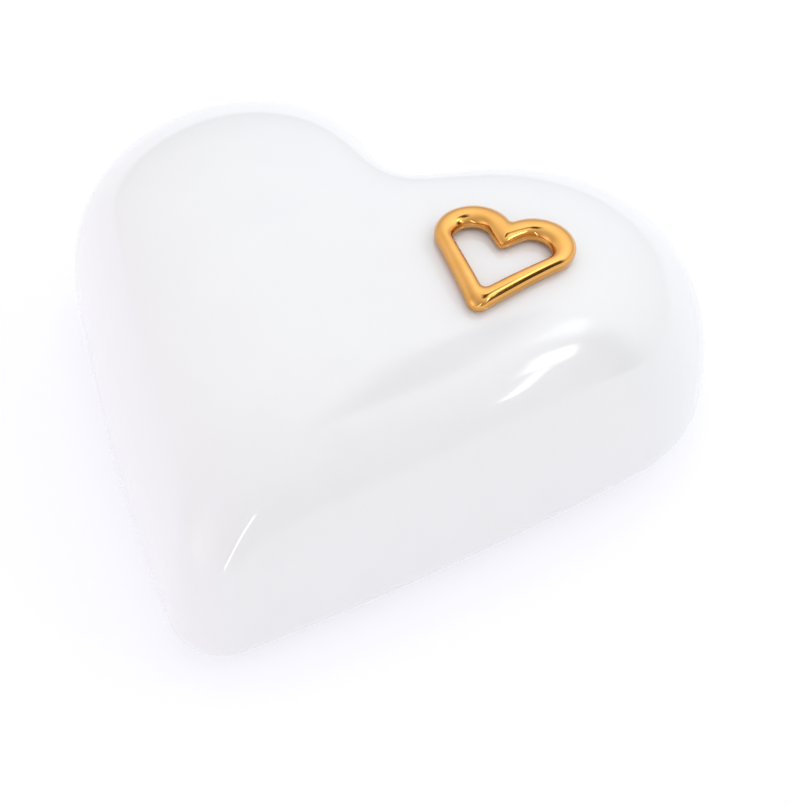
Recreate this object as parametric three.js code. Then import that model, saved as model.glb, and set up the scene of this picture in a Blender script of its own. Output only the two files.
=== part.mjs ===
// A puffed, heart-shaped ceramic trinket box with a lift-off domed lid.
// Millimetres, +Z up. The origin is under the middle of the box, on the surface it stands on.
// The tip of the heart points to -Y and its two lobes lie side by side along X.
import * as THREE from 'three';

// ---------------------------------------------------------------- driving sizes
// The heart's widest outline: two round lobes, a soft cleft, bowed flanks and a rounded tip.
const heart = {
  lobeRadius: 43.45,
  lobeOffset: 48.05,
  lobeStretch: 1.171,
  tipReach: 124.75,
  tipRadius: 14.3,
  cleftRadius: 11.9,
  flankBow: 1.94,
};
const smallestTipRadius = 2.5;

// Heights above the table.
const footHeight = 1.5;
const touchGap = 0.3;
const baseUnderside = footHeight + touchGap;
const footRing = { inset: 22.5, depth: 1.2 };
const flangeTop = 4.4;
const rimRingHeight = 0.7;
const rimRingInset = { outside: 8.9, inside: 10.6 };
const rimHeight = flangeTop + touchGap + rimRingHeight + touchGap;
const domeHeight = 62.4;
const crownHeight = rimHeight + domeHeight;

// The domed lid.
const underEdge = { inset: 6.5, height: 6.8 };
const widestHeight = rimHeight + underEdge.height;
const domeSideFullness = 3.64;
const domeTopFullness = 2.5;
const domeSoftening = 0.42;
const crownLean = -14.2;
const lidWall = 4.2;
const lidRimWidth = 4;

// The dish that the lid stands on.
const flangeInset = 8.2;
const locatingWallInset = 11.8;
const locatingWallThickness = 3;
const locatingWallTop = 29;
const floorTop = 6.3;

// The soft fittings inside the dish.
const liningInset = locatingWallInset + locatingWallThickness + touchGap;
const liningThickness = 1.3;
const liningBottom = 8.8;
const liningTop = 27;
const floorPadInset = liningInset + liningThickness + 0.7;
const floorPadBottom = floorTop + touchGap;
const floorPadTop = 10.6;
const ringRollRadius = 6;
const ringRollPitch = 12.6;
const ringRollCount = 5;
const firstRingRollY = -1.5;
const dividerThickness = 2.4;
const dividerTop = 24;
const crossDividerY = -10;

// The open-heart emblem: an outer and an inner outline, each of two lobes and a pointed tip.
const emblem = {
  x: 38.45,
  y: 26.45,
  turn: 0.068,
  skew: 0.123,
  rise: 3.7,
  seat: 1.0,
  outer: { lobeRadius: 9.9, lobeOffset: 8.28, tipReach: 26.9, tipRadius: 3.0,
    cleftY: 6.19, cleftAngle: 2.436, shiftY: 0 },
  inner: { lobeRadius: 4.72, lobeOffset: 7.95, tipReach: 17.27, tipRadius: 1.29,
    cleftY: -1.47, cleftAngle: 2.484, shiftY: -2.14 },
};

const emblemPadRadius = 2.2;

const footRadius = 4.5;
const footInset = 15.8;

// How finely the curved skins are divided.
const heartSteps = 88;
const domeSteps = 13;
const innerDomeSteps = 9;

// ---------------------------------------------------------------- materials
function makeMaterial(color, roughness, metalness) {
  return new THREE.MeshStandardMaterial({ color, roughness, metalness });
}

const whiteGlaze = makeMaterial(0xf5f6f7, 0.08, 0);
const polishedGold = makeMaterial(0xe0a551, 0.12, 1);
const clearFoam = makeMaterial(0xe6e3dc, 0.6, 0);
const milkySilicone = makeMaterial(0xdcdcd6, 0.5, 0);
const creamVelvet = makeMaterial(0xe7dccb, 0.9, 0);
const greyFelt = makeMaterial(0xb9b6b0, 0.95, 0);

// ---------------------------------------------------------------- heart outlines
// Where the flank leaves the lobe circle (centre at +offset on X) and meets the tip circle.
function flankNormal(lobeRadius, lobeOffset, tipCentreY, tipRadius) {
  const along = new THREE.Vector2(-lobeOffset, tipCentreY);
  const length = along.length();
  along.divideScalar(length);
  const sine = (lobeRadius - tipRadius) / length;
  const outward = new THREE.Vector2(-along.y, along.x);
  return along.multiplyScalar(sine).add(outward.multiplyScalar(Math.sqrt(1 - sine * sine)));
}

// Mirrors the right half, which runs from the cleft to the tip, into a closed ring of points.
function mirrorHalf(half) {
  const left = half.slice(1, -1).reverse().map((p) => new THREE.Vector2(-p.x, p.y));
  return half.concat(left);
}

// The box's outline moved inwards by `inset`, in the box's own frame.
const centreShift = (heart.tipReach - heart.lobeRadius * heart.lobeStretch) / 2;

function heartRing(inset) {
  const { lobeOffset, lobeStretch } = heart;
  const lobeRadius = heart.lobeRadius - inset;
  const cleftRadius = heart.cleftRadius + inset;
  const tipRadius = Math.max(heart.tipRadius - inset, smallestTipRadius);
  const fullNormal = flankNormal(
    heart.lobeRadius, lobeOffset, heart.tipRadius - heart.tipReach, heart.tipRadius,
  );
  const tipRise = (tipRadius - (heart.tipRadius - inset)) / fullNormal.x;
  const tipCentreY = heart.tipRadius - heart.tipReach + tipRise;
  const cleftCentreY = Math.sqrt((lobeRadius + cleftRadius) ** 2 - lobeOffset ** 2);
  const toCleft = new THREE.Vector2(-lobeOffset, cleftCentreY).normalize();
  const lobeStart = Math.atan2(toCleft.y, toCleft.x);
  const cleftEnd = Math.atan2(-toCleft.y, -toCleft.x);
  const normal = flankNormal(lobeRadius, lobeOffset, tipCentreY, tipRadius);
  const normalAngle = Math.atan2(normal.y, normal.x);
  const flankStart = new THREE.Vector2(lobeOffset, 0).addScaledVector(normal, lobeRadius);
  const flankEnd = new THREE.Vector2(0, tipCentreY).addScaledVector(normal, tipRadius);
  const bow = flankStart.clone().add(flankEnd).multiplyScalar(0.5);
  bow.addScaledVector(normal, 2 * heart.flankBow);

  const path = new THREE.Path();
  path.moveTo(0, (cleftCentreY - cleftRadius) * lobeStretch);
  path.absellipse(0, cleftCentreY * lobeStretch, cleftRadius, cleftRadius * lobeStretch,
    -Math.PI / 2, cleftEnd, false, 0);
  path.absellipse(lobeOffset, 0, lobeRadius, lobeRadius * lobeStretch, lobeStart, 0, true, 0);
  path.absarc(lobeOffset, 0, lobeRadius, 0, normalAngle, true);
  path.quadraticCurveTo(bow.x, bow.y, flankEnd.x, flankEnd.y);
  path.absarc(0, tipCentreY, tipRadius, normalAngle, -Math.PI / 2, true);
  const half = path.getSpacedPoints(heartSteps / 2);
  half[0].x = 0;
  half[half.length - 1].x = 0;
  return mirrorHalf(half).map((p) => new THREE.Vector2(p.x, p.y + centreShift));
}

// One outline of the emblem, as a closed ring in the emblem's own frame.
function emblemRing(shape, steps) {
  const { lobeRadius, lobeOffset, tipRadius, cleftY, cleftAngle } = shape;
  const tipCentreY = tipRadius - shape.tipReach;
  const lobeX = lobeOffset + lobeRadius * Math.cos(cleftAngle);
  const lobeY = lobeRadius * Math.sin(cleftAngle);
  const cleftHandle = lobeX - Math.tan(cleftAngle) * (cleftY - lobeY);
  const normal = flankNormal(lobeRadius, lobeOffset, tipCentreY, tipRadius);
  const normalAngle = Math.atan2(normal.y, normal.x);
  const path = new THREE.Path();
  path.moveTo(0, cleftY);
  path.quadraticCurveTo(cleftHandle, cleftY, lobeX, lobeY);
  path.absarc(lobeOffset, 0, lobeRadius, cleftAngle, normalAngle, true);
  path.lineTo(normal.x * tipRadius, tipCentreY + normal.y * tipRadius);
  path.absarc(0, tipCentreY, tipRadius, normalAngle, -Math.PI / 2, true);
  const half = path.getSpacedPoints(steps / 2);
  half[0].x = 0;
  half[half.length - 1].x = 0;
  return mirrorHalf(half).map((p) => new THREE.Vector2(p.x, p.y + shape.shiftY));
}

// ---------------------------------------------------------------- the puffed dome
// A heart outline as a sum of circular motions. Shrinking the quick ones faster than the slow
// ones rounds the outline off towards the crown, so the cleft fades away as it does on a pillow.
function outlineModes(ring) {
  const count = ring.length;
  return ring.map((_, index) => {
    const order = index <= count / 2 ? index : index - count;
    let re = 0;
    let im = 0;
    ring.forEach((p, i) => {
      const angle = (-2 * Math.PI * order * i) / count;
      re += p.x * Math.cos(angle) - p.y * Math.sin(angle);
      im += p.x * Math.sin(angle) + p.y * Math.cos(angle);
    });
    return { order, re: re / count, im: im / count };
  });
}

function domeRing(modes, spread) {
  return modes.map((_, i) => {
    const point = new THREE.Vector2(0, crownLean * (1 - spread));
    modes.forEach(({ order, re, im }) => {
      const fade = order === 0 ? 1 : spread ** (1 + (Math.abs(order) - 1) * domeSoftening);
      const angle = (2 * Math.PI * order * i) / modes.length;
      point.x += fade * (re * Math.cos(angle) - im * Math.sin(angle));
      point.y += fade * (re * Math.sin(angle) + im * Math.cos(angle));
    });
    return point;
  });
}

function atHeight(ring, z) {
  return ring.map((p) => new THREE.Vector3(p.x, p.y, z));
}

// Rings up a dome that starts at the outline `inset` inside the widest line.
function domeRings(inset, bottom, top, steps) {
  const modes = outlineModes(heartRing(inset));
  const rings = [];
  for (let step = 0; step < steps; step += 1) {
    const angle = (Math.PI / 2) * (step / steps);
    const spread = Math.cos(angle) ** (2 / domeSideFullness);
    const height = bottom + (top - bottom) * Math.sin(angle) ** (2 / domeTopFullness);
    rings.push(atHeight(domeRing(modes, spread), height));
  }
  return rings;
}

// The height of the outer dome above a point in plan, read between evenly spaced rings.
const outerModes = outlineModes(heartRing(0));
const crown = domeRing(outerModes, 0)[0];
const contourCount = 120;
const contours = Array.from({ length: contourCount + 1 }, (_, i) => (
  domeRing(outerModes, i / contourCount)
));

function domeHeightAt(x, y) {
  const target = new THREE.Vector2(x, y).sub(crown);
  const distance = target.length();
  const outside = contours.findIndex((ring) => ringReach(ring, target) > distance);
  const near = ringReach(contours[outside - 1], target);
  const far = ringReach(contours[outside], target);
  const spread = (outside - 1 + (distance - near) / (far - near)) / contourCount;
  const angle = Math.acos(spread ** (domeSideFullness / 2));
  return widestHeight + (crownHeight - widestHeight) * Math.sin(angle) ** (2 / domeTopFullness);
}

// How far a ring lies from the crown in the direction of `target`.
function ringReach(ring, target) {
  const direction = target.clone().normalize();
  for (let i = 0; i < ring.length; i += 1) {
    const from = ring[i].clone().sub(crown);
    const to = ring[(i + 1) % ring.length].clone().sub(crown);
    const side = direction.cross(from);
    const otherSide = direction.cross(to);
    if (side * otherSide <= 0 && direction.dot(from) + direction.dot(to) > 0) {
      const share = side / (side - otherSide || 1);
      return from.lerp(to, share).dot(direction);
    }
  }
  return 0;
}

// ---------------------------------------------------------------- lofted solids
// Joins rings of equal count. A loft either closes on itself or ends in a point at each end.
function loft(rings, ends) {
  const count = rings[0].length;
  const positions = rings.flat().flatMap((p) => [p.x, p.y, p.z]);
  const faces = [];
  const spans = ends ? rings.length - 1 : rings.length;
  for (let r = 0; r < spans; r += 1) {
    const next = (r + 1) % rings.length;
    for (let i = 0; i < count; i += 1) {
      const j = (i + 1) % count;
      faces.push(r * count + i, r * count + j, next * count + j);
      faces.push(r * count + i, next * count + j, next * count + i);
    }
  }
  if (ends) {
    const first = rings.length * count;
    positions.push(ends[0].x, ends[0].y, ends[0].z, ends[1].x, ends[1].y, ends[1].z);
    const last = (rings.length - 1) * count;
    for (let i = 0; i < count; i += 1) {
      const j = (i + 1) % count;
      faces.push(first, j, i);
      faces.push(first + 1, last + i, last + j);
    }
  }
  const geometry = new THREE.BufferGeometry();
  geometry.setAttribute('position', new THREE.Float32BufferAttribute(positions, 3));
  geometry.setIndex(outwardFaces(positions, faces));
  geometry.computeVertexNormals();
  return geometry;
}

// Turns the faces over when they enclose a negative volume.
function outwardFaces(positions, faces) {
  const corner = (i) => new THREE.Vector3().fromArray(positions, 3 * i);
  let volume = 0;
  for (let f = 0; f < faces.length; f += 3) {
    const [a, b, c] = [corner(faces[f]), corner(faces[f + 1]), corner(faces[f + 2])];
    volume += a.dot(b.cross(c));
  }
  if (volume > 0) {
    return faces;
  }
  const turned = [];
  for (let f = 0; f < faces.length; f += 3) {
    turned.push(faces[f], faces[f + 2], faces[f + 1]);
  }
  return turned;
}

function insetRings(profile) {
  return profile.map(([inset, z]) => atHeight(heartRing(inset), z));
}

function makeMesh(name, geometry, material) {
  const mesh = new THREE.Mesh(geometry, material);
  mesh.name = name;
  return mesh;
}

// ---------------------------------------------------------------- ceramic body
// A shallow dish: foot ring, flange for the lid to stand on, locating wall and floor. Its section
// is a list of pairs of inset and height, from the recess underneath, round the outside, to the
// floor.
function makeBaseDish() {
  const wallOuter = locatingWallInset;
  const wallInner = locatingWallInset + locatingWallThickness;
  const recess = baseUnderside + footRing.depth;
  const rings = insetRings([
    [footRing.inset + 2, recess],
    [footRing.inset, baseUnderside],
    [flangeInset + 1.4, baseUnderside],
    [flangeInset + 0.4, baseUnderside + 0.5],
    [flangeInset, baseUnderside + 1.3],
    [flangeInset + 0.4, flangeTop],
    [wallOuter - 0.4, flangeTop],
    [wallOuter, flangeTop + 0.8],
    [wallOuter, locatingWallTop - 1.6],
    [wallOuter + 0.6, locatingWallTop - 0.4],
    [wallOuter + 1.5, locatingWallTop],
    [wallInner - 0.6, locatingWallTop - 0.4],
    [wallInner, locatingWallTop - 1.6],
    [wallInner, floorTop + 1.9],
    [wallInner + 0.6, floorTop + 0.5],
    [wallInner + 2, floorTop],
  ]);
  const ends = [new THREE.Vector3(0, 0, recess), new THREE.Vector3(0, 0, floorTop)];
  return makeMesh('base_dish', loft(rings, ends), whiteGlaze);
}

// The lid's lip in section, from the inside of the wall, in over the lip, round its mouth and
// back out along the rim: pairs of inset and height.
function lipProfile() {
  const mouthInset = underEdge.inset + lidRimWidth;
  const lipTop = rimHeight + lidWall;
  const round = 1.4;
  const hollow = { inset: underEdge.inset - lidWall, height: underEdge.height - lidWall };
  const turnedIn = [0, 1 / 3, 2 / 3, 1].map((share) => {
    const angle = (Math.PI / 2) * share;
    return [
      underEdge.inset - hollow.inset * Math.cos(angle),
      widestHeight - hollow.height * Math.sin(angle),
    ];
  });
  return [
    ...turnedIn,
    [mouthInset - round, lipTop],
    [mouthInset - 0.3 * round, lipTop - 0.3 * round],
    [mouthInset, lipTop - round],
    [mouthInset, rimHeight + round],
    [mouthInset - 0.3 * round, rimHeight + 0.3 * round],
    [mouthInset - round, rimHeight],
  ];
}

// The hollow puffed lid, from the inside of its crown, down round the rim, and over the outside.
function makeLidShell() {
  const innerTop = crownHeight - lidWall;
  const inside = domeRings(lidWall, widestHeight, innerTop, innerDomeSteps).slice(1).reverse();
  const turnedOut = [0, 0.25, 0.5, 0.75].map((share) => {
    const angle = (Math.PI / 2) * share;
    const inset = underEdge.inset * (1 - Math.sin(angle));
    const height = rimHeight + underEdge.height * (1 - Math.cos(angle));
    return atHeight(heartRing(inset), height);
  });
  const outside = domeRings(0, widestHeight, crownHeight, domeSteps);
  const innerCrown = domeRing(outlineModes(heartRing(lidWall)), 0)[0];
  const ends = [
    new THREE.Vector3(innerCrown.x, innerCrown.y, innerTop),
    new THREE.Vector3(crown.x, crown.y, crownHeight),
  ];
  const rings = [...inside, ...insetRings(lipProfile()), ...turnedOut, ...outside];
  return makeMesh('lid_shell', loft(rings, ends), whiteGlaze);
}

// The soft ring between the flange and the lid's rim, which stops the two from chattering.
function makeRimRing() {
  const bottom = flangeTop + touchGap;
  const top = bottom + rimRingHeight;
  const { outside, inside } = rimRingInset;
  const geometry = loft(insetRings([
    [outside, bottom],
    [outside, top],
    [inside, top],
    [inside, bottom],
  ]));
  return makeMesh('rim_ring', geometry, milkySilicone);
}

// ---------------------------------------------------------------- gold emblem
// Places a point of the emblem's own frame on the dome, `above` the glaze.
function onDome(point, above) {
  const sheared = new THREE.Vector2(point.x, point.y + emblem.skew * point.x);
  sheared.rotateAround(new THREE.Vector2(0, 0), emblem.turn);
  const x = emblem.x + sheared.x;
  const y = emblem.y + sheared.y;
  const probe = 0.5;
  const slopeX = (domeHeightAt(x + probe, y) - domeHeightAt(x - probe, y)) / (2 * probe);
  const slopeY = (domeHeightAt(x, y + probe) - domeHeightAt(x, y - probe)) / (2 * probe);
  const normal = new THREE.Vector3(-slopeX, -slopeY, 1).normalize();
  return new THREE.Vector3(x, y, domeHeightAt(x, y)).addScaledVector(normal, above);
}

// A band with a flat back and a domed front, between the emblem's two outlines. Its section is a
// list of pairs: the share of the way across the band, and the share of its rise.
function makeEmblem() {
  const steps = 56;
  const outer = emblemRing(emblem.outer, steps);
  const inner = emblemRing(emblem.inner, steps);
  const section = [[0, 0], [0, 0.28], [0.09, 0.66], [0.27, 0.93], [0.5, 1],
    [0.73, 0.93], [0.91, 0.66], [1, 0.28], [1, 0]];
  const rings = section.map(([across, up]) => outer.map((p, i) => {
    const point = p.clone().lerp(inner[i], across);
    return onDome(point, emblem.seat + up * emblem.rise);
  }));
  return makeMesh('heart_emblem', loft(rings), polishedGold);
}

// A round adhesive pad in the gap between the glaze and the emblem's back.
function makeEmblemPad(name, along) {
  const steps = 56;
  const index = Math.round(along * steps) % steps;
  const middle = emblemRing(emblem.outer, steps)[index].lerp(
    emblemRing(emblem.inner, steps)[index], 0.5,
  );
  const sides = 12;
  const edge = (above, radius) => Array.from({ length: sides }, (_, i) => {
    const angle = (2 * Math.PI * i) / sides;
    const spoke = new THREE.Vector2(Math.cos(angle), Math.sin(angle)).multiplyScalar(radius);
    return onDome(spoke.add(middle), above);
  });
  const low = touchGap;
  const high = emblem.seat - touchGap;
  const rings = [edge(low, emblemPadRadius), edge(high, emblemPadRadius)];
  const geometry = loft(rings, [onDome(middle, low), onDome(middle, high)]);
  return makeMesh(name, geometry, clearFoam);
}

// ---------------------------------------------------------------- soft fittings
function makeFloorPad() {
  const edge = floorPadInset;
  const rings = insetRings([
    [edge + 1.6, floorPadBottom],
    [edge, floorPadBottom + 1.2],
    [edge, floorPadTop - 1.6],
    [edge + 0.6, floorPadTop - 0.5],
    [edge + 2.2, floorPadTop],
  ]);
  const ends = [new THREE.Vector3(0, 0, floorPadBottom), new THREE.Vector3(0, 0, floorPadTop)];
  return makeMesh('floor_pad', loft(rings, ends), creamVelvet);
}

function makeWallLining() {
  const face = liningInset + liningThickness;
  const geometry = loft(insetRings([
    [liningInset, liningBottom],
    [liningInset, liningTop - 0.5],
    [liningInset + liningThickness / 2, liningTop],
    [face, liningTop - 0.5],
    [face, liningBottom],
  ]));
  return makeMesh('wall_lining', geometry, creamVelvet);
}

// Where the line at height y of the plan crosses the left half of the lining's inner face.
const compartmentRing = heartRing(liningInset + liningThickness);

function leftCrossings(y) {
  const crossings = [];
  compartmentRing.forEach((from, i) => {
    const to = compartmentRing[(i + 1) % compartmentRing.length];
    if ((from.y - y) * (to.y - y) < 0) {
      const x = from.x + ((to.x - from.x) * (y - from.y)) / (to.y - from.y);
      if (x < 0) {
        crossings.push(x);
      }
    }
  });
  return crossings.sort((a, b) => a - b);
}

// A padded roll for rings, lying across the left lobe and cut to the lobe's width there.
function makeRingRoll(index) {
  const y = firstRingRollY + index * ringRollPitch;
  const clearance = 1.2;
  const dividerFace = -dividerThickness / 2;
  const edges = [y - ringRollRadius, y, y + ringRollRadius].map(leftCrossings);
  const outerEnd = Math.max(...edges.map((found) => found[0])) + clearance;
  const cleftFaces = edges.map((found) => (found.length > 1 ? found[1] : dividerFace));
  const innerEnd = Math.min(dividerFace, ...cleftFaces) - clearance;
  const body = innerEnd - outerEnd - 2 * ringRollRadius;
  const geometry = new THREE.CapsuleGeometry(ringRollRadius, body, 4, 14);
  geometry.rotateZ(Math.PI / 2);
  const roll = makeMesh(`ring_roll_${index + 1}`, geometry, creamVelvet);
  const rest = floorPadTop + touchGap + ringRollRadius;
  roll.position.set((innerEnd + outerEnd) / 2, y, rest);
  return roll;
}

// An upright card board with a rounded top edge, standing on the floor pad.
function makeDivider(name, length, place, alongX) {
  const half = dividerThickness / 2;
  const bottom = floorPadTop + touchGap;
  const section = new THREE.Shape();
  section.moveTo(-half, bottom);
  section.lineTo(half, bottom);
  section.lineTo(half, dividerTop - half);
  section.absarc(0, dividerTop - half, half, 0, Math.PI, false);
  section.lineTo(-half, bottom);
  const geometry = new THREE.ExtrudeGeometry(section, {
    depth: length, bevelEnabled: false, curveSegments: 5,
  });
  geometry.translate(0, 0, -length / 2);
  geometry.rotateX(Math.PI / 2);
  if (alongX) {
    geometry.rotateZ(Math.PI / 2);
  }
  const board = makeMesh(name, geometry, creamVelvet);
  board.position.set(place.x, place.y, 0);
  return board;
}

function makeCrossDivider() {
  const nearEdge = leftCrossings(crossDividerY - dividerThickness / 2)[0];
  const length = -2 * nearEdge - 2 * 0.6;
  return makeDivider('divider_cross', length, new THREE.Vector2(0, crossDividerY), true);
}

function makeLongDivider() {
  const from = crossDividerY + dividerThickness / 2 + 0.4;
  const cleft = Math.min(...compartmentRing.filter((p) => Math.abs(p.x) < 0.5 && p.y > 0)
    .map((p) => p.y));
  const length = cleft - 0.6 - from;
  return makeDivider('divider_long', length, new THREE.Vector2(0, from + length / 2), false);
}

// ---------------------------------------------------------------- feet
function makeFoot(name, place) {
  const bevel = 0.4;
  const profile = [
    new THREE.Vector2(0, 0),
    new THREE.Vector2(footRadius - bevel, 0),
    new THREE.Vector2(footRadius, bevel),
    new THREE.Vector2(footRadius, footHeight),
    new THREE.Vector2(0, footHeight),
  ];
  const geometry = new THREE.LatheGeometry(profile, 24);
  geometry.rotateX(Math.PI / 2);
  const foot = makeMesh(name, geometry, greyFelt);
  foot.position.set(place.x, place.y, 0);
  return foot;
}

// ---------------------------------------------------------------- assembly
const base = new THREE.Group();
base.add(makeBaseDish(), makeRimRing(), makeFloorPad(), makeWallLining());
for (let index = 0; index < ringRollCount; index += 1) {
  base.add(makeRingRoll(index));
}
base.add(makeLongDivider(), makeCrossDivider());

const footLine = heartRing(footInset);
const footPlaces = [0.5, 0.32, 0.68, 0.14, 0.86];
footPlaces.forEach((along, index) => {
  const place = footLine[Math.round(along * heartSteps)];
  base.add(makeFoot(`foot_${index + 1}`, place));
});

const lid = new THREE.Group();
lid.add(makeLidShell(), makeEmblem());
const padPlaces = [0.2, 0.5, 0.8];
padPlaces.forEach((along, index) => {
  lid.add(makeEmblemPad(`emblem_pad_${index + 1}`, along));
});

const box = new THREE.Group();
box.add(base, lid);

export default box;
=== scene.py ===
"""A puffed heart-shaped ceramic trinket box: glaze, gold emblem, velvet fittings and studio."""
import math

import bmesh
import bpy
import numpy as np
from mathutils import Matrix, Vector


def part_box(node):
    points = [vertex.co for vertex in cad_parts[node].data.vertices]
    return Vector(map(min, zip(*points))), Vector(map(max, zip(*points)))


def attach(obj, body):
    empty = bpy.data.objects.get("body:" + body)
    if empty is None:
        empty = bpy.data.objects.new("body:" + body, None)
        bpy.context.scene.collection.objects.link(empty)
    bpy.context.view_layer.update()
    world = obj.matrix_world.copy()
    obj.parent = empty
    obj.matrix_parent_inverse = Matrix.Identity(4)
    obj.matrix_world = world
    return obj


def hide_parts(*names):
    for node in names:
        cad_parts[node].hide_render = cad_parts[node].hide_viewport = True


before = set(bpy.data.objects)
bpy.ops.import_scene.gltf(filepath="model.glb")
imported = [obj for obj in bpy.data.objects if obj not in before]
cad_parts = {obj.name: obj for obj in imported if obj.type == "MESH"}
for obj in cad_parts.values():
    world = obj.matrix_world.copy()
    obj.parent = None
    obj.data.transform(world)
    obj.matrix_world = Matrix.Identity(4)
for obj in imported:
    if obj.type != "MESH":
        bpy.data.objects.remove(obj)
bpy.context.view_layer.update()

MM = 0.001
BASE = "base"
LID = "lid"

# ------------------------------------------------------------------ driving sizes (mm)
LOBE_RADIUS = 43.45
LOBE_OFFSET = 48.05
LOBE_STRETCH = 1.171
TIP_REACH = 124.75
TIP_RADIUS = 14.3
CLEFT_RADIUS = 11.9
FLANK_BOW = 1.94
SMALLEST_TIP_RADIUS = 2.5
CENTRE_SHIFT = (TIP_REACH - LOBE_RADIUS * LOBE_STRETCH) / 2

UNDER_EDGE_INSET = 6.5
UNDER_EDGE_HEIGHT = 6.8
SIDE_FULLNESS = 3.64
TOP_FULLNESS = 2.5
SOFTENING = 0.42
CROWN_LEAN = -14.2
LID_WALL = 4.2
RIM_WIDTH = 4.0
MOUTH_INSET = UNDER_EDGE_INSET + RIM_WIDTH

RIM_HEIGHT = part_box("lid_shell")[0].z / MM
CROWN_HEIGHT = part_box("lid_shell")[1].z / MM
WIDEST_HEIGHT = RIM_HEIGHT + UNDER_EDGE_HEIGHT
BASE_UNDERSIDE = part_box("base_dish")[0].z / MM
WALL_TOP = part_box("base_dish")[1].z / MM
FLANGE_TOP = 4.4
FLOOR_TOP = 6.3
FOOT_RING_INSET = 22.5
FOOT_RING_DEPTH = 1.2
RIM_RING_INSET = 9.75
RIM_RING_HALF_WIDTH = 0.85
FLANGE_INSET = 8.2
WALL_INSET = 11.8
WALL_THICKNESS = 3.0
LINING_INSET = WALL_INSET + WALL_THICKNESS + 0.3
LINING_THICKNESS = 1.3
PAD_INSET = LINING_INSET + LINING_THICKNESS + 0.7

EMBLEM = {
    "x": 38.45, "y": 26.45, "turn": 0.068, "skew": 0.123, "rise": 3.7, "seat": 1.0,
    "outer": {"lobe_radius": 9.9, "lobe_offset": 8.28, "tip_reach": 26.9, "tip_radius": 3.0,
              "cleft_y": 6.19, "cleft_angle": 2.436, "shift_y": 0.0},
    "inner": {"lobe_radius": 4.72, "lobe_offset": 7.95, "tip_reach": 17.27, "tip_radius": 1.29,
              "cleft_y": -1.47, "cleft_angle": 2.484, "shift_y": -2.14},
}

HEART_STEPS = 480


# ------------------------------------------------------------------ outlines
def arc(centre, radii, start, end, steps):
    """Points on an ellipse from one angle to another, both ends included."""
    angles = np.linspace(start, end, steps)
    return np.stack([centre[0] + radii[0] * np.cos(angles),
                     centre[1] + radii[1] * np.sin(angles)], axis=1)


def quadratic(start, handle, end, steps):
    """Points on a quadratic curve, both ends included."""
    share = np.linspace(0, 1, steps)[:, None]
    return (1 - share) ** 2 * start + 2 * share * (1 - share) * handle + share ** 2 * end


def spaced(points, count):
    """Points at equal distances along an open line, both ends included."""
    reach = np.r_[0, np.cumsum(np.hypot(*np.diff(points, axis=0).T))]
    stops = np.linspace(0, reach[-1], count)
    return np.stack([np.interp(stops, reach, points[:, axis]) for axis in (0, 1)], axis=1)


def flank_normal(lobe_radius, lobe_offset, tip_centre_y, tip_radius):
    """Outward normal of the line that touches the lobe circle and the tip circle."""
    along = np.array([-lobe_offset, tip_centre_y])
    length = np.hypot(*along)
    along = along / length
    sine = (lobe_radius - tip_radius) / length
    outward = np.array([-along[1], along[0]])
    return along * sine + outward * math.sqrt(1 - sine ** 2)


def mirrored(half):
    """Closes a right half, which runs from the cleft to the tip, with its mirror image."""
    return np.vstack([half, half[-2:0:-1] * [-1, 1]])


def heart_ring(inset, count=HEART_STEPS):
    """The box's outline moved inwards, as a closed ring of points in mm."""
    lobe = LOBE_RADIUS - inset
    cleft = CLEFT_RADIUS + inset
    tip = max(TIP_RADIUS - inset, SMALLEST_TIP_RADIUS)
    slope = flank_normal(LOBE_RADIUS, LOBE_OFFSET, TIP_RADIUS - TIP_REACH, TIP_RADIUS)
    tip_y = TIP_RADIUS - TIP_REACH + (tip - (TIP_RADIUS - inset)) / slope[0]
    cleft_y = math.sqrt((lobe + cleft) ** 2 - LOBE_OFFSET ** 2)
    lobe_start = math.atan2(cleft_y, -LOBE_OFFSET)
    cleft_end = math.atan2(-cleft_y, LOBE_OFFSET)
    normal = flank_normal(lobe, LOBE_OFFSET, tip_y, tip)
    angle = math.atan2(normal[1], normal[0])
    flank_start = np.array([LOBE_OFFSET, 0]) + normal * lobe
    flank_end = np.array([0, tip_y]) + normal * tip
    handle = (flank_start + flank_end) / 2 + normal * 2 * FLANK_BOW
    half = np.vstack([
        arc((0, cleft_y * LOBE_STRETCH), (cleft, cleft * LOBE_STRETCH), -math.pi / 2, cleft_end, 60),
        arc((LOBE_OFFSET, 0), (lobe, lobe * LOBE_STRETCH), lobe_start, 0, 160)[1:],
        arc((LOBE_OFFSET, 0), (lobe, lobe), 0, angle, 60)[1:],
        quadratic(flank_start, handle, flank_end, 120)[1:],
        arc((0, tip_y), (tip, tip), angle, -math.pi / 2, 60)[1:],
    ])
    return mirrored(spaced(half, count // 2 + 1)) + [0, CENTRE_SHIFT]


def emblem_ring(shape, count):
    """One outline of the emblem in its own frame, in mm."""
    lobe, offset, tip = shape["lobe_radius"], shape["lobe_offset"], shape["tip_radius"]
    tip_y = tip - shape["tip_reach"]
    turn_in = shape["cleft_angle"]
    start = np.array([offset + lobe * math.cos(turn_in), lobe * math.sin(turn_in)])
    handle = np.array([start[0] - math.tan(turn_in) * (shape["cleft_y"] - start[1]),
                       shape["cleft_y"]])
    normal = flank_normal(lobe, offset, tip_y, tip)
    angle = math.atan2(normal[1], normal[0])
    half = np.vstack([
        quadratic(np.array([0, shape["cleft_y"]]), handle, start, 40),
        arc((offset, 0), (lobe, lobe), turn_in, angle, 120)[1:],
        arc((0, tip_y), (tip, tip), angle, -math.pi / 2, 40),
    ])
    return mirrored(spaced(half, count // 2 + 1)) + [0, shape["shift_y"]]


# ------------------------------------------------------------------ the puffed dome
def outline_modes(ring):
    """A closed ring as a sum of circular motions."""
    modes = np.fft.fft(ring[:, 0] + 1j * ring[:, 1])
    orders = np.abs(np.fft.fftfreq(len(ring), 1 / len(ring)))
    return modes, orders


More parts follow.
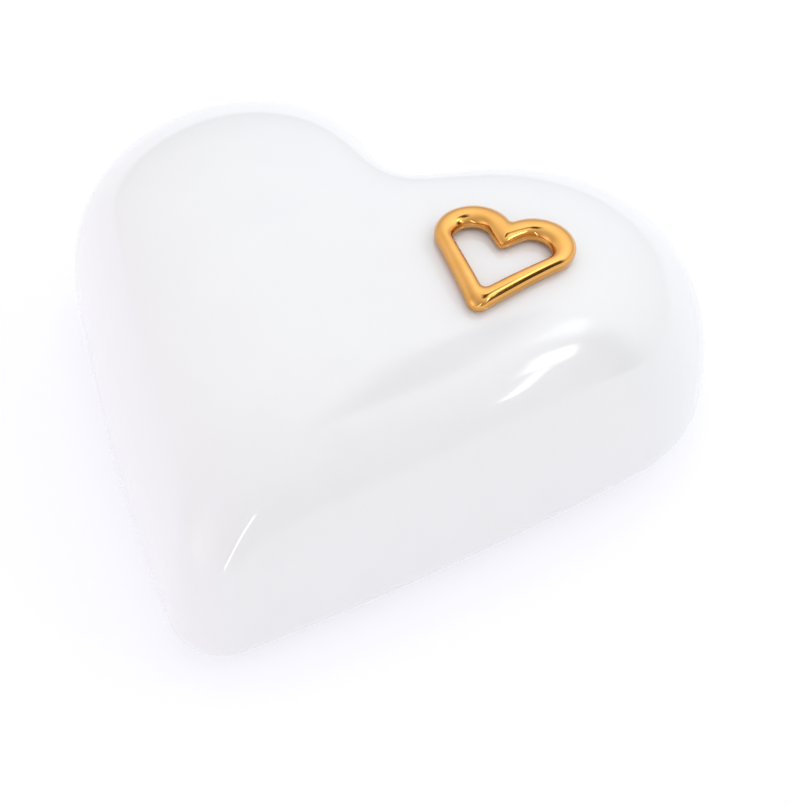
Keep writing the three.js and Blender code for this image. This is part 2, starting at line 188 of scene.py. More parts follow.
def dome_ring(modes, orders, spread):
    """The outline drawn in towards the crown: the quick motions fade before the slow ones."""
    fade = np.where(orders == 0, 1.0, spread ** (1 + (orders - 1) * SOFTENING))
    points = np.fft.ifft(modes * fade) + 1j * CROWN_LEAN * (1 - spread)
    return np.stack([points.real, points.imag], axis=1)


def at_height(ring, z):
    """A flat ring of points at one height."""
    return np.column_stack([ring, np.full(len(ring), z)])


def dome_rings(inset, bottom, top, steps):
    """Rings up a dome, from the outline `inset` inside the widest line to just under its top."""
    modes, orders = outline_modes(heart_ring(inset))
    rings = []
    for angle in np.linspace(0, math.pi / 2, steps, endpoint=False):
        spread = math.cos(angle) ** (2 / SIDE_FULLNESS)
        height = bottom + (top - bottom) * math.sin(angle) ** (2 / TOP_FULLNESS)
        rings.append(at_height(dome_ring(modes, orders, spread), height))
    return rings


OUTER_MODES = outline_modes(heart_ring(0))
CROWN = dome_ring(*OUTER_MODES, 0.0)[0]


def dome_contours(count, headings):
    """Distance from the crown to each evenly spread contour, by direction round the crown."""
    reaches = []
    for spread in np.linspace(0, 1, count):
        offset = dome_ring(*OUTER_MODES, max(spread, 1e-4)) - CROWN
        angle = np.arctan2(offset[:, 1], offset[:, 0])
        order = np.argsort(angle)
        reach = np.hypot(offset[:, 0], offset[:, 1])
        reaches.append(np.interp(headings, angle[order], reach[order], period=2 * math.pi))
    return np.array(reaches)


HEADING_STEPS = 720
CONTOUR_REACHES = dome_contours(240, np.linspace(-math.pi, math.pi, HEADING_STEPS + 1))


def dome_height(points):
    """Height of the outer dome above points in plan, in mm."""
    offset = points - CROWN
    heading = np.arctan2(offset[:, 1], offset[:, 0])
    place = (heading + math.pi) / (2 * math.pi) * HEADING_STEPS
    step = np.minimum(place.astype(int), HEADING_STEPS - 1)
    share = place - step
    columns = CONTOUR_REACHES[:, step] * (1 - share) + CONTOUR_REACHES[:, step + 1] * share
    distance = np.hypot(offset[:, 0], offset[:, 1])
    spreads = np.linspace(0, 1, len(CONTOUR_REACHES))
    spread = np.array([np.interp(d, column, spreads) for d, column in zip(distance, columns.T)])
    angle = np.arccos(spread ** (SIDE_FULLNESS / 2))
    lift = np.sin(angle) ** (2 / TOP_FULLNESS)
    return WIDEST_HEIGHT + (CROWN_HEIGHT - WIDEST_HEIGHT) * lift


# ------------------------------------------------------------------ meshes
def new_object(name, points, faces, smooth=True):
    """A mesh object from points in mm, with its faces turned outwards."""
    mesh = bpy.data.meshes.new(name)
    mesh.from_pydata([tuple(p) for p in np.asarray(points) * MM], [], faces)
    tool = bmesh.new()
    tool.from_mesh(mesh)
    bmesh.ops.recalc_face_normals(tool, faces=tool.faces)
    tool.to_mesh(mesh)
    tool.free()
    mesh.polygons.foreach_set("use_smooth", [smooth] * len(mesh.polygons))
    obj = bpy.data.objects.new(name, mesh)
    bpy.context.scene.collection.objects.link(obj)
    return obj


def loft(name, rings, ends=None, capped=False):
    """Joins rings of equal count. It closes on itself, ends in points, or has a flat cap at each end."""
    count = len(rings[0])
    points = np.vstack(rings)
    faces = []
    spans = len(rings) - 1 if capped or ends is not None else len(rings)
    for r in range(spans):
        here, there = r * count, ((r + 1) % len(rings)) * count
        for i in range(count):
            j = (i + 1) % count
            faces.append((here + i, here + j, there + j, there + i))
    last = (len(rings) - 1) * count
    if capped:
        faces.append(tuple(range(count)))
        faces.append(tuple(range(last, last + count)))
    if ends is not None:
        first = len(points)
        points = np.vstack([points, ends])
        for i in range(count):
            j = (i + 1) % count
            faces.append((i, first, j))
            faces.append((last + i, last + j, first + 1))
    return new_object(name, points, faces)


def rounded(profile, corner_steps=6):
    """Replaces each (inset, height, radius) corner of a section by a short curve."""
    corners = np.array([p[:2] for p in profile], dtype=float)
    out = [corners[0]]
    for i in range(1, len(profile) - 1):
        before, here, after = corners[i - 1], corners[i], corners[i + 1]
        radius = profile[i][2] if len(profile[i]) > 2 else 0
        if radius == 0:
            out.append(here)
            continue
        back = before - here
        ahead = after - here
        start = here + back / np.hypot(*back) * min(radius, np.hypot(*back) / 2)
        end = here + ahead / np.hypot(*ahead) * min(radius, np.hypot(*ahead) / 2)
        out.extend(quadratic(start, here, end, corner_steps))
    out.append(corners[-1])
    return np.array(out)


def inset_rings(profile, count=HEART_STEPS):
    """One heart ring for each (inset, height) of a section."""
    return [at_height(heart_ring(inset, count), z) for inset, z in profile]


def finish_piece(obj, body, material, replaces):
    """Gives a piece its material and its body, and hides the CAD node it stands for."""
    obj.data.materials.append(material)
    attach(obj, body)
    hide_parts(replaces)
    return obj


# ------------------------------------------------------------------ materials
def new_material(name):
    """An empty node material with its shader and a helper that adds nodes."""
    material = bpy.data.materials.new(name)
    material.use_nodes = True
    nodes = material.node_tree.nodes
    shader = nodes["Principled BSDF"]

    def add(kind, **settings):
        node = nodes.new(kind)
        for key, value in settings.items():
            if key in node.inputs:
                node.inputs[key].default_value = value
            else:
                setattr(node, key, value)
        return node

    return material, shader, add, material.node_tree.links.new


def object_noise(add, link, scale, detail=2.0, rough=0.5):
    """A noise texture laid out in the piece's own space, in 1/m."""
    place = add("ShaderNodeTexCoord")
    noise = add("ShaderNodeTexNoise", Scale=scale, Detail=detail, Roughness=rough)
    link(place.outputs["Object"], noise.inputs["Vector"])
    return noise


def ramp(add, link, source, stops):
    """A colour ramp over a noise or mask output."""
    node = add("ShaderNodeValToRGB")
    link(source, node.inputs["Fac"])
    while len(node.color_ramp.elements) < len(stops):
        node.color_ramp.elements.new(0.5)
    for element, (place, colour) in zip(node.color_ramp.elements, stops):
        element.position = place
        element.color = (*colour, 1)
    return node.outputs["Color"]


def spread_value(add, link, source, low, high):
    """Maps a 0 to 1 output onto a range."""
    node = add("ShaderNodeMapRange")
    link(source, node.inputs["Value"])
    node.inputs["To Min"].default_value = low
    node.inputs["To Max"].default_value = high
    return node.outputs["Result"]


def bumps(add, link, shader, layers):
    """Stacks bump maps: each layer is a height output, a strength and a depth in metres."""
    previous = None
    for height, strength, distance in layers:
        node = add("ShaderNodeBump", Strength=strength, Distance=distance)
        link(height, node.inputs["Height"])
        if previous is not None:
            link(previous.outputs["Normal"], node.inputs["Normal"])
        previous = node
    link(previous.outputs["Normal"], shader.inputs["Normal"])


def glaze_material():
    """Thick white gloss glaze, with the faint long ripple that it sets with."""
    material, shader, add, link = new_material("white_glaze")
    ripple = object_noise(add, link, 26, 1.5)
    fleck = object_noise(add, link, 900, 2)
    mottle = object_noise(add, link, 60, 3)
    link(ramp(add, link, mottle.outputs["Fac"],
              [(0.3, (0.825, 0.83, 0.833)), (0.7, (0.838, 0.842, 0.844))]),
         shader.inputs["Base Color"])
    link(spread_value(add, link, mottle.outputs["Fac"], 0.05, 0.1), shader.inputs["Roughness"])
    shader.inputs["IOR"].default_value = 1.5
    shader.inputs["Coat Weight"].default_value = 0.35
    shader.inputs["Coat Roughness"].default_value = 0.03
    bumps(add, link, shader, [
        (ripple.outputs["Fac"], 0.35, 0.0006),
        (fleck.outputs["Fac"], 0.04, 0.00005),
    ])
    return material


def biscuit_material():
    """The bare fired clay of the ring that the dish was fired on."""
    material, shader, add, link = new_material("bare_clay")
    grain = object_noise(add, link, 1400, 4, 0.65)
    blotch = object_noise(add, link, 90, 3)
    link(ramp(add, link, blotch.outputs["Fac"],
              [(0.3, (0.62, 0.59, 0.54)), (0.7, (0.70, 0.675, 0.63))]),
         shader.inputs["Base Color"])
    shader.inputs["Roughness"].default_value = 0.85
    bumps(add, link, shader, [(grain.outputs["Fac"], 0.4, 0.0002)])
    return material


def gold_material():
    """Polished warm gold plate, with faint polishing lines and a soft casting ripple."""
    material, shader, add, link = new_material("polished_gold")
    ripple = object_noise(add, link, 150, 2)
    polish = object_noise(add, link, 2600, 3, 0.6)
    link(ramp(add, link, ripple.outputs["Fac"],
              [(0.3, (0.74, 0.375, 0.095)), (0.7, (0.79, 0.415, 0.12))]),
         shader.inputs["Base Color"])
    shader.inputs["Metallic"].default_value = 1.0
    link(spread_value(add, link, polish.outputs["Fac"], 0.07, 0.14), shader.inputs["Roughness"])
    bumps(add, link, shader, [
        (ripple.outputs["Fac"], 0.12, 0.0004),
        (polish.outputs["Fac"], 0.03, 0.00004),
    ])
    return material


def velvet_material():
    """Cream velvet: a short dense nap, brushed lighter and darker in soft patches."""
    material, shader, add, link = new_material("cream_velvet")
    brushed = object_noise(add, link, 75, 4, 0.6)
    pile = object_noise(add, link, 3200, 3, 0.7)
    link(ramp(add, link, brushed.outputs["Fac"],
              [(0.25, (0.47, 0.385, 0.30)), (0.55, (0.60, 0.51, 0.415)),
               (0.8, (0.68, 0.60, 0.505))]),
         shader.inputs["Base Color"])
    shader.inputs["Roughness"].default_value = 0.92
    shader.inputs["Sheen Weight"].default_value = 0.7
    shader.inputs["Sheen Roughness"].default_value = 0.35
    shader.inputs["Sheen Tint"].default_value = (1.0, 0.95, 0.88, 1)
    shader.inputs["Specular IOR Level"].default_value = 0.15
    bumps(add, link, shader, [
        (brushed.outputs["Fac"], 0.25, 0.0006),
        (pile.outputs["Fac"], 0.7, 0.00025),
    ])
    return material


def felt_material():
    """Pressed wool felt: matted fibres running every way."""
    material, shader, add, link = new_material("grey_felt")
    fibres = object_noise(add, link, 1700, 6, 0.75)
    matting = object_noise(add, link, 320, 3)
    link(ramp(add, link, fibres.outputs["Fac"],
              [(0.3, (0.30, 0.295, 0.28)), (0.7, (0.47, 0.46, 0.44))]),
         shader.inputs["Base Color"])
    shader.inputs["Roughness"].default_value = 0.97
    shader.inputs["Sheen Weight"].default_value = 0.4
    bumps(add, link, shader, [
        (matting.outputs["Fac"], 0.4, 0.0004),
        (fibres.outputs["Fac"], 0.8, 0.0003),
    ])
    return material


def silicone_material():
    """Milky moulded silicone with a fine dull skin."""
    material, shader, add, link = new_material("milky_silicone")
    skin = object_noise(add, link, 1100, 3)
    link(ramp(add, link, skin.outputs["Fac"],
              [(0.3, (0.66, 0.66, 0.64)), (0.7, (0.73, 0.73, 0.71))]),
         shader.inputs["Base Color"])
    shader.inputs["Roughness"].default_value = 0.42
    shader.inputs["Subsurface Weight"].default_value = 0.3
    shader.inputs["Subsurface Radius"].default_value = (0.001, 0.001, 0.001)
    bumps(add, link, shader, [(skin.outputs["Fac"], 0.2, 0.00006)])
    return material


def foam_material():
    """Closed-cell adhesive foam."""
    material, shader, add, link = new_material("adhesive_foam")
    place = add("ShaderNodeTexCoord")
    cells = add("ShaderNodeTexVoronoi", Scale=2200)
    link(place.outputs["Object"], cells.inputs["Vector"])
    link(ramp(add, link, cells.outputs["Distance"],
              [(0.1, (0.60, 0.59, 0.55)), (0.6, (0.74, 0.73, 0.69))]),
         shader.inputs["Base Color"])
    shader.inputs["Roughness"].default_value = 0.75
    bumps(add, link, shader, [(cells.outputs["Distance"], 0.5, 0.0002)])
    return material


def floor_material():
    """A pale translucent table, lit from below as well as from above."""
    material, shader, add, link = new_material("lit_table")
    mottle = object_noise(add, link, 3, 2)
    link(ramp(add, link, mottle.outputs["Fac"],
              [(0.3, (0.50, 0.50, 0.50)), (0.7, (0.51, 0.51, 0.51))]),
         shader.inputs["Base Color"])
    shader.inputs["Roughness"].default_value = 0.9
    shader.inputs["Specular IOR Level"].default_value = 0.1
    shader.inputs["Emission Color"].default_value = (0.93, 0.93, 1.0, 1)
    shader.inputs["Emission Strength"].default_value = 0.55
    return material


GLAZE = glaze_material()
BISCUIT = biscuit_material()
GOLD = gold_material()
VELVET = velvet_material()
FELT = felt_material()
SILICONE = silicone_material()
FOAM = foam_material()


# ------------------------------------------------------------------ ceramics
def make_lid():
    """The hollow puffed lid with its turned-in lip."""
    inner_top = CROWN_HEIGHT - LID_WALL
    inside = dome_rings(LID_WALL, WIDEST_HEIGHT, inner_top, 40)[1:][::-1]
    hollow = (UNDER_EDGE_INSET - LID_WALL, UNDER_EDGE_HEIGHT - LID_WALL)
    turned_in = [(UNDER_EDGE_INSET - hollow[0] * math.cos(a), WIDEST_HEIGHT - hollow[1] * math.sin(a))
                 for a in np.linspace(0, math.pi / 2, 10)]
    lip_top = RIM_HEIGHT + LID_WALL
    lip = rounded([
        (UNDER_EDGE_INSET, lip_top),
        (MOUTH_INSET, lip_top, 1.9),
        (MOUTH_INSET, RIM_HEIGHT, 1.9),
        (UNDER_EDGE_INSET, RIM_HEIGHT),
    ], 10)[1:]
    turned_out = [(UNDER_EDGE_INSET * (1 - math.sin(a)),
                   RIM_HEIGHT + UNDER_EDGE_HEIGHT * (1 - math.cos(a)))
                  for a in np.linspace(0, math.pi / 2, 16, endpoint=False)[1:]]
    section = [*turned_in, *lip, *turned_out]
    outside = dome_rings(0, WIDEST_HEIGHT, CROWN_HEIGHT, 72)
    inner_crown = dome_ring(*outline_modes(heart_ring(LID_WALL)), 0.0)[0]
    rings = [*inside, *inset_rings(section), *outside]
    obj = loft("lid_glazed", rings, [(*inner_crown, inner_top), (*CROWN, CROWN_HEIGHT)])
    return finish_piece(obj, LID, GLAZE, "lid_shell")


def make_dish():
    """The glazed dish, bare on the ring it was fired on."""
    recess = BASE_UNDERSIDE + FOOT_RING_DEPTH
    inner = WALL_INSET + WALL_THICKNESS
    section = rounded([
        (FOOT_RING_INSET + 3.5, recess),
        (FOOT_RING_INSET + 2, recess, 1.0),
        (FOOT_RING_INSET, BASE_UNDERSIDE, 1.0),
        (FLANGE_INSET, BASE_UNDERSIDE, 1.3),
        (FLANGE_INSET, FLANGE_TOP, 1.0),
        (WALL_INSET, FLANGE_TOP, 0.8),
        (WALL_INSET, WALL_TOP, 1.5),
        (inner, WALL_TOP, 1.5),
        (inner, FLOOR_TOP, 2.2),
        (inner + 4, FLOOR_TOP),
    ], 8)
    obj = loft("dish_glazed", inset_rings(section), capped=True)
    finish_piece(obj, BASE, GLAZE, "base_dish")
    obj.data.materials.append(BISCUIT)
    for face in obj.data.polygons:
        on_foot_ring = face.center.z < (BASE_UNDERSIDE + 0.05) * MM and face.normal.z < -0.9
        if on_foot_ring:
            face.material_index = 1
    return obj


def make_rim_ring():
    """The soft ring that the lid stands on, with rounded edges."""
    low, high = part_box("rim_ring")
    bottom, top = low.z / MM, high.z / MM
    middle = (bottom + top) / 2
    section = [(RIM_RING_INSET - RIM_RING_HALF_WIDTH * math.cos(a),
                middle + (top - middle) * math.sin(a))
               for a in np.linspace(0, 2 * math.pi, 12, endpoint=False)]
    obj = loft("rim_ring_soft", inset_rings(section, 320))
    return finish_piece(obj, BASE, SILICONE, "rim_ring")


# ------------------------------------------------------------------ gold emblem
def on_dome(points, above):
    """Places points of the emblem's own frame on the dome, `above` the glaze."""
    skewed = np.column_stack([points[:, 0], points[:, 1] + EMBLEM["skew"] * points[:, 0]])
    cos, sin = math.cos(EMBLEM["turn"]), math.sin(EMBLEM["turn"])
    plan = skewed @ np.array([[cos, sin], [-sin, cos]]) + [EMBLEM["x"], EMBLEM["y"]]
    probe = 0.5
    slopes = [(dome_height(plan + step) - dome_height(plan - step)) / (2 * probe)
              for step in (np.array([probe, 0]), np.array([0, probe]))]
    normals = np.column_stack([-slopes[0], -slopes[1], np.ones(len(plan))])
    normals /= np.linalg.norm(normals, axis=1)[:, None]
    return np.column_stack([plan, dome_height(plan)]) + normals * above


def make_emblem():
    """A polished open heart: flat back, full rounded front, mitred at the tip and the cleft."""
    count = 220
    outer = emblem_ring(EMBLEM["outer"], count)
    inner = emblem_ring(EMBLEM["inner"], count)
    edge_height = 0.8
    rise = EMBLEM["rise"]
    section = [(0.06, 0.0), (0.0, 0.25), (0.0, edge_height)]
    for angle in np.linspace(0, math.pi, 22)[1:-1]:
        across = 0.5 - 0.5 * math.cos(angle)
        section.append((across, edge_height + (rise - edge_height) * math.sin(angle) ** 0.9))
    section += [(1.0, edge_height), (1.0, 0.25), (0.94, 0.0)]
    rings = [on_dome(outer + (inner - outer) * across, EMBLEM["seat"] + up)
             for across, up in section]
    obj = loft("emblem_gold", rings)
    return finish_piece(obj, LID, GOLD, "heart_emblem")


def dress_emblem_pad(name):
    """Gives an adhesive pad, which stays the CAD's own, its foam."""
    materials = bpy.data.objects[name].data.materials
    materials.clear()
    materials.append(FOAM)


# ------------------------------------------------------------------ velvet fittings
def puff(obj, pressure, cap, pinned):
    """Blows a closed fabric skin up by cloth simulation and keeps each point within `cap` mm.

    `pinned` is a function of the resting points, in metres, that gives each one's pin weight.
    """
    start = np.array([v.co for v in obj.data.vertices])
    weights = pinned(start)
    group = obj.vertex_groups.new(name="pinned")
    for index, weight in enumerate(weights):
        if weight > 0:
            group.add([index], float(weight), "REPLACE")
    cloth = obj.modifiers.new("skin", "CLOTH")
    settings = cloth.settings
    settings.quality = 5
    settings.mass = 0.15
    settings.tension_stiffness = 8
    settings.compression_stiffness = 8
    settings.shear_stiffness = 4
    settings.bending_stiffness = 0.3
    settings.use_pressure = True
    settings.uniform_pressure_force = pressure
    settings.effector_weights.gravity = 0
    settings.vertex_group_mass = "pinned"
    cloth.collision_settings.use_collision = False
    cloth.point_cache.frame_start = 1
    cloth.point_cache.frame_end = 20
    for step in range(1, 21):
        bpy.context.scene.frame_set(step)
    evaluated = obj.evaluated_get(bpy.context.evaluated_depsgraph_get())
    swollen = np.array([v.co for v in evaluated.data.vertices])
    obj.modifiers.remove(cloth)
    move = swollen - start
    length = np.linalg.norm(move, axis=1)
    limit = cap * MM * np.tanh(length / (cap * MM)) / np.maximum(length, 1e-9)
    held = start + move * limit[:, None]
    obj.data.vertices.foreach_set("co", held.ravel())
    obj.data.update()
    bpy.context.scene.frame_set(1)


def soften(obj):
    """One level of subdivision, applied, so the sewn skin has no facets."""
    modifier = obj.modifiers.new("smooth", "SUBSURF")
    modifier.levels = 1
    modifier.render_levels = 1
    evaluated = obj.evaluated_get(bpy.context.evaluated_depsgraph_get())
    mesh = bpy.data.meshes.new_from_object(evaluated)
    obj.modifiers.remove(modifier)
    obj.data = mesh
    for face in mesh.polygons:
        face.use_smooth = True


def make_floor_pad():
    """The padded velvet floor, crowned between the boards and rolls that press on it."""
    low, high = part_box("floor_pad")
    bottom, top = low.z / MM, high.z / MM
    count = 200
    edge = PAD_INSET
    rolled = 1.6
    modes, orders = outline_modes(heart_ring(edge + rolled, count))
    flat = [dome_ring(modes, orders, spread) - [0, CROWN_LEAN * (1 - spread)]
            for spread in np.linspace(0.97, 0.04, 26)]
    underneath = [at_height(ring, bottom) for ring in flat[::-1]]
    above = [at_height(ring, top) for ring in flat]
    side = inset_rings([(edge + rolled, bottom), (edge + 0.4, bottom + 0.7), (edge, bottom + 1.7),
                        (edge, top - 1.7), (edge + 0.4, top - 0.7), (edge + rolled, top)], count)
    middle = modes[0] / count
    ends = [(middle.real, middle.imag, bottom), (middle.real, middle.imag, top)]
    obj = loft("floor_pad_velvet", [*underneath, *side, *above], ends)
    boards = [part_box("divider_long"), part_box("divider_cross")]
    rolls = [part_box(name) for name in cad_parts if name.startswith("ring_roll")]

    def pinned(points):
        weight = np.where(points[:, 2] < (bottom + 1.9) * MM, 1.0, 0.0)
        for box in boards + rolls:
            inside = ((points[:, 0] > box[0].x) & (points[:, 0] < box[1].x)
                      & (points[:, 1] > box[0].y) & (points[:, 1] < box[1].y))
            weight = np.where(inside, 1.0, weight)
        return weight

    puff(obj, 4.0, 1.6, pinned)
    soften(obj)
    finish_piece(obj, BASE, VELVET, "floor_pad")
    return obj


def make_ring_roll(name):
    """A velvet roll over a foam core: straight along, tucked in at its ends."""
    low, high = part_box(name)
    centre = (low + high) / 2
    radius = (high.z - low.z) / 2 / MM - 0.25
    half_length = (high.x - low.x) / 2 / MM
    tuck = 0.75 * radius
    around = 48
    turns = np.linspace(0, math.pi / 2, 9)
    ends_x = half_length - tuck * (1 - np.cos(turns))
    ends_r = radius * np.sin(turns) ** 0.85
    tube_steps = max(12, int(half_length * 2 / 1.6))
    tube = np.linspace(-1, 1, tube_steps) * (half_length - tuck)
    xs = [*-ends_x[1:-1], *tube, *ends_x[-2:0:-1]]
    rs = [*ends_r[1:-1], *[radius] * len(tube), *ends_r[-2:0:-1]]
    angle = np.linspace(0, 2 * math.pi, around, endpoint=False)
    rings = []
    for x, r in zip(xs, rs):
        rings.append(np.column_stack([
            np.full(around, centre.x / MM + x),
            centre.y / MM + r * np.cos(angle),
            centre.z / MM + r * np.sin(angle),
        ]))
    tips = [(centre.x / MM - half_length + 0.3, centre.y / MM, centre.z / MM),
            (centre.x / MM + half_length - 0.3, centre.y / MM, centre.z / MM)]
    obj = loft(f"{name}_velvet", rings, tips)

    def pinned(points):
        at_end = np.abs(points[:, 0] - centre.x) > (half_length - 0.5) * MM
        at_rest = points[:, 2] < centre.z - 0.93 * radius * MM
        return np.where(at_end | at_rest, 1.0, 0.0)

    puff(obj, 3.0, 0.5, pinned)
    soften(obj)
    finish_piece(obj, BASE, VELVET, name)
    return obj


def make_lining():
    """The velvet-covered strip that lines the dish's wall, rolled over at its top edge."""
    low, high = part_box("wall_lining")
    bottom, top = low.z / MM, high.z / MM
    face = LINING_INSET + LINING_THICKNESS
    section = rounded([
        (LINING_INSET, (bottom + top) / 2),
        (LINING_INSET, top, 0.6),
        (face, top, 0.6),
        (face, bottom, 0.4),
        (LINING_INSET, bottom, 0.4),
        (LINING_INSET, (bottom + top) / 2),
    ], 6)[:-1]
    rows = []
    for inset, z in section:
        ring = heart_ring(inset)
        wobble = 0.12 * np.sin(np.arange(HEART_STEPS) * 2 * math.pi * 23 / HEART_STEPS + 0.15 * z)
        middle = ring.mean(axis=0)
        pull = (ring - middle) / np.linalg.norm(ring - middle, axis=1)[:, None]
        rows.append(at_height(ring + pull * wobble[:, None] * (inset > LINING_INSET + 0.6), z))
    obj = loft("wall_lining_velvet", rows)
    return finish_piece(obj, BASE, VELVET, "wall_lining")


def make_divider(name):
    """An upright card board wrapped in velvet, softly rounded at its top and ends."""
    low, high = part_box(name)
    size = (high - low) / MM
    centre = (low + high) / 2 / MM
    along_x = size.x > size.y
    length = size.x if along_x else size.y
    thick = size.y if along_x else size.x
    steps = max(20, int(length / 1.5))
    section = rounded([
        (0, -size.z / 2),
        (thick / 2, -size.z / 2, 0.5),
        (thick / 2, size.z / 2, 1.15),
        (-thick / 2, size.z / 2, 1.15),
        (-thick / 2, -size.z / 2, 0.5),
        (0, -size.z / 2),
    ], 6)[:-1]
    rings = []
    for step in range(steps + 1):
        place = -length / 2 + length * step / steps
        from_end = min(step, steps - step) * length / steps
        squeeze = math.sqrt(max(0.0, 1 - max(0.0, 1 - (from_end + 0.25) / 1.2) ** 2))
        across = section[:, 0] * squeeze
        up = section[:, 1] - (1 - squeeze) * 0.8 * (section[:, 1] > 0)
        if along_x:
            ring = np.column_stack([np.full(len(across), place), across, up])
        else:
            ring = np.column_stack([across, np.full(len(across), place), up])
        rings.append(ring + [centre.x, centre.y, centre.z])
    tips = [rings[0].mean(axis=0), rings[-1].mean(axis=0)]
    obj = loft(f"{name}_velvet", rings, tips)
    return finish_piece(obj, BASE, VELVET, name)


def make_foot(name):
    """A pressed felt disc, slightly domed at its edge."""
    low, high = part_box(name)
    centre = (low + high) / 2 / MM
    radius = (high.x - low.x) / 2 / MM
    top = high.z / MM
    section = rounded([(radius * 0.5, 0), (radius, 0, 0.45), (radius, top, 0.25),
                       (radius * 0.5, top)], 6)
    around = 72
    angle = np.linspace(0, 2 * math.pi, around, endpoint=False)
    fray = 1 + 0.006 * np.sin(11 * angle + centre.x) + 0.004 * np.sin(29 * angle)
    rings = [np.column_stack([centre.x + r * np.cos(angle) * fray,
                              centre.y + r * np.sin(angle) * fray,
                              np.full(around, z)]) for r, z in section]
    obj = loft(f"{name}_felt", rings, [(centre.x, centre.y, 0), (centre.x, centre.y, top)])
    return finish_piece(obj, BASE, FELT, name)


# ------------------------------------------------------------------ studio
# The tent round the box: soft lobes of light, then dark and bright panels that only the gold and
# the glaze show. Azimuth runs from +Y towards +X; angles are in degrees.
NEUTRAL = (1.0, 1.0, 1.0)
COOL = (0.95, 1.0, 1.1)
ROSY = (1.1, 0.9, 1.0)
TENT_LEVEL = 0.42
SOFT_LOBES = [
    {"azimuth": 60, "elevation": 40, "tightness": 5, "level": 1.1, "tint": NEUTRAL},
    {"azimuth": 0, "elevation": 40, "tightness": 5, "level": 0.7, "tint": COOL},
    {"azimuth": -60, "elevation": 40, "tightness": 5, "level": 0.4, "tint": NEUTRAL},
    {"azimuth": 180, "elevation": 40, "tightness": 5, "level": 0.2, "tint": COOL},
    {"azimuth": -150, "elevation": 8, "tightness": 8, "level": 1.2, "tint": ROSY},
    {"azimuth": -90, "elevation": 8, "tightness": 8, "level": 0.5, "tint": NEUTRAL},
    {"azimuth": 0, "elevation": 90, "tightness": 5, "level": 0.2, "tint": NEUTRAL},
]
DARK_PANELS = [
    {"azimuth": 62, "elevation": 65, "half_width": 14, "half_height": 8, "tilt": 0, "edge": 5},
    {"azimuth": 82, "elevation": 14, "half_width": 9, "half_height": 22, "tilt": 12, "edge": 7},
]
BRIGHT_PANELS = [
    {"azimuth": 66, "elevation": 44.5, "half_width": 6, "half_height": 5, "tilt": 0,
     "edge": 3, "level": 1.8},
    {"azimuth": 88, "elevation": 32, "half_width": 2.3, "half_height": 5.0, "tilt": 38,
     "edge": 2.2, "level": 9},
    {"azimuth": 96.5, "elevation": 21.5, "half_width": 6, "half_height": 0.7, "tilt": -58,
     "edge": 0.4, "level": 8},
    {"azimuth": 148, "elevation": 14, "half_width": 18, "half_height": 1.6, "tilt": -46,
     "edge": 0.8, "level": 5},
]
PANEL_DARKNESS = 0.93
BACKDROP_LEVEL = 1.0

# The photograph's viewpoint. The azimuth runs from -Y towards +X; metres and degrees.
CAMERA_AZIMUTH = 21.8
CAMERA_ELEVATION = 46.0
CAMERA_DISTANCE = 0.769
CAMERA_TARGET = (0.0188, 0.0, 0.0242)
FOCAL_LENGTH_IN_FRAMES = 3.5403


def make_floor():
    """A wide pale table that the box stands on."""
    half = 3000
    obj = new_object("studio_floor", [(-half, -half, 0), (half, -half, 0), (half, half, 0),
                                      (-half, half, 0)], [(0, 1, 2, 3)], smooth=False)
    obj.data.materials.append(floor_material())


def direction(azimuth, elevation):
    """A unit vector. Azimuth runs from +Y towards +X, in degrees."""
    a, e = math.radians(azimuth), math.radians(elevation)
    return Vector((math.sin(a) * math.cos(e), math.cos(a) * math.cos(e), math.sin(e)))


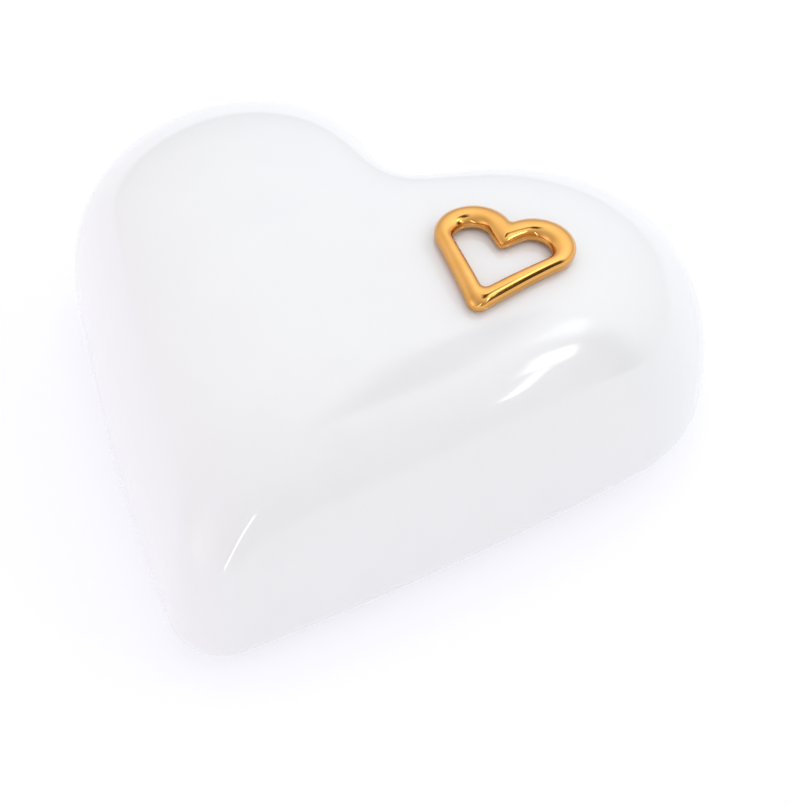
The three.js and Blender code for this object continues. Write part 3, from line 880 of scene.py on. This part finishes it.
class Sky:
    """Adds up the tent's light in the world's nodes, by direction."""

    def __init__(self, nodes, link, level):
        self.nodes = nodes
        self.link = link
        self.towards = nodes.new("ShaderNodeTexCoord").outputs["Generated"]
        start = nodes.new("ShaderNodeCombineXYZ")
        for socket in start.inputs:
            socket.default_value = level
        self.total = start.outputs["Vector"]

    def maths(self, operation, first, second):
        """One sum on two numbers or outputs."""
        node = self.nodes.new("ShaderNodeMath")
        node.operation = operation
        for socket, value in zip(node.inputs, (first, second)):
            if isinstance(value, bpy.types.NodeSocket):
                self.link(value, socket)
            else:
                socket.default_value = value
        return node.outputs["Value"]

    def along(self, axis):
        """How far the direction points along an axis, from -1 to 1."""
        node = self.nodes.new("ShaderNodeVectorMath")
        node.operation = "DOT_PRODUCT"
        self.link(self.towards, node.inputs[0])
        node.inputs[1].default_value = axis
        return node.outputs["Value"]

    def scaled(self, colour, amount):
        """A colour times an output."""
        node = self.nodes.new("ShaderNodeVectorMath")
        node.operation = "SCALE"
        if isinstance(colour, bpy.types.NodeSocket):
            self.link(colour, node.inputs[0])
        else:
            node.inputs[0].default_value = colour
        self.link(amount, node.inputs["Scale"])
        return node.outputs["Vector"]

    def add(self, light):
        """Adds one output to the total."""
        node = self.nodes.new("ShaderNodeVectorMath")
        self.link(self.total, node.inputs[0])
        self.link(light, node.inputs[1])
        self.total = node.outputs["Vector"]

    def lobe(self, azimuth, elevation, tightness, level, tint):
        """A broad soft light that fades away all round."""
        fall = self.maths("SUBTRACT", self.along(direction(azimuth, elevation)), 1.0)
        amount = self.maths("EXPONENT", self.maths("MULTIPLY", fall, tightness), 0.0)
        self.add(self.scaled([level * share for share in tint], amount))

    def panel(self, azimuth, elevation, half_width, half_height, tilt, edge):
        """Where a flat panel stands: 1 on it, 0 off it, soft at its edge."""
        centre = direction(azimuth, elevation)
        level = direction(azimuth + 90, 0)
        rise = level.cross(centre)
        turn = math.radians(tilt)
        across = level * math.cos(turn) + rise * math.sin(turn)
        upward = rise * math.cos(turn) - level * math.sin(turn)
        mask = self.maths("GREATER_THAN", self.along(centre), 0.0)
        for axis, half in ((across, half_width), (upward, half_height)):
            node = self.nodes.new("ShaderNodeMapRange")
            node.interpolation_type = "SMOOTHSTEP"
            self.link(self.maths("ABSOLUTE", self.along(axis), 0.0), node.inputs["Value"])
            node.inputs["From Min"].default_value = math.sin(math.radians(half - edge))
            node.inputs["From Max"].default_value = math.sin(math.radians(half + edge))
            node.inputs["To Min"].default_value = 1.0
            node.inputs["To Max"].default_value = 0.0
            mask = self.maths("MULTIPLY", mask, node.outputs["Result"])
        return mask


def make_world():
    """The tent as the box sees it, and a plain white backdrop as the camera sees it."""
    world = bpy.data.worlds.new("tent")
    bpy.context.scene.world = world
    world.use_nodes = True
    nodes = world.node_tree.nodes
    link = world.node_tree.links.new
    sky = Sky(nodes, link, TENT_LEVEL)
    for lobe in SOFT_LOBES:
        sky.lobe(**lobe)
    for panel in DARK_PANELS:
        shade = sky.maths("MULTIPLY", sky.panel(**panel), PANEL_DARKNESS)
        kept = sky.maths("SUBTRACT", 1.0, shade)
        sky.total = sky.scaled(sky.total, kept)
    for panel in BRIGHT_PANELS:
        shape = {key: value for key, value in panel.items() if key != "level"}
        sky.add(sky.scaled([panel["level"]] * 3, sky.panel(**shape)))
    tent = nodes["Background"]
    link(sky.total, tent.inputs["Color"])
    backdrop = nodes.new("ShaderNodeBackground")
    backdrop.inputs["Color"].default_value = (1, 1, 1, 1)
    backdrop.inputs["Strength"].default_value = BACKDROP_LEVEL
    choose = nodes.new("ShaderNodeMixShader")
    link(nodes.new("ShaderNodeLightPath").outputs["Is Camera Ray"], choose.inputs["Fac"])
    link(tent.outputs["Background"], choose.inputs[1])
    link(backdrop.outputs["Background"], choose.inputs[2])
    link(choose.outputs["Shader"], nodes["World Output"].inputs["Surface"])


def make_camera():
    """A camera above the box, in front of it and to its right."""
    data = bpy.data.cameras.new("camera")
    data.lens = data.sensor_width * FOCAL_LENGTH_IN_FRAMES
    data.clip_end = 50
    obj = bpy.data.objects.new("camera", data)
    bpy.context.scene.collection.objects.link(obj)
    back = direction(180 - CAMERA_AZIMUTH, CAMERA_ELEVATION)
    obj.location = Vector(CAMERA_TARGET) + back * CAMERA_DISTANCE
    obj.rotation_mode = "QUATERNION"
    obj.rotation_quaternion = (-back).to_track_quat("-Z", "Y")
    bpy.context.scene.camera = obj


bpy.context.scene.view_settings.view_transform = "Standard"
make_camera()
make_floor()
make_world()

make_lid()
make_dish()
make_rim_ring()
make_emblem()
make_floor_pad()
make_lining()
for node in sorted(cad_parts):
    if node.startswith("ring_roll"):
        make_ring_roll(node)
    elif node.startswith("divider"):
        make_divider(node)
    elif node.startswith("foot"):
        make_foot(node)
    elif node.startswith("emblem_pad"):
        dress_emblem_pad(node)
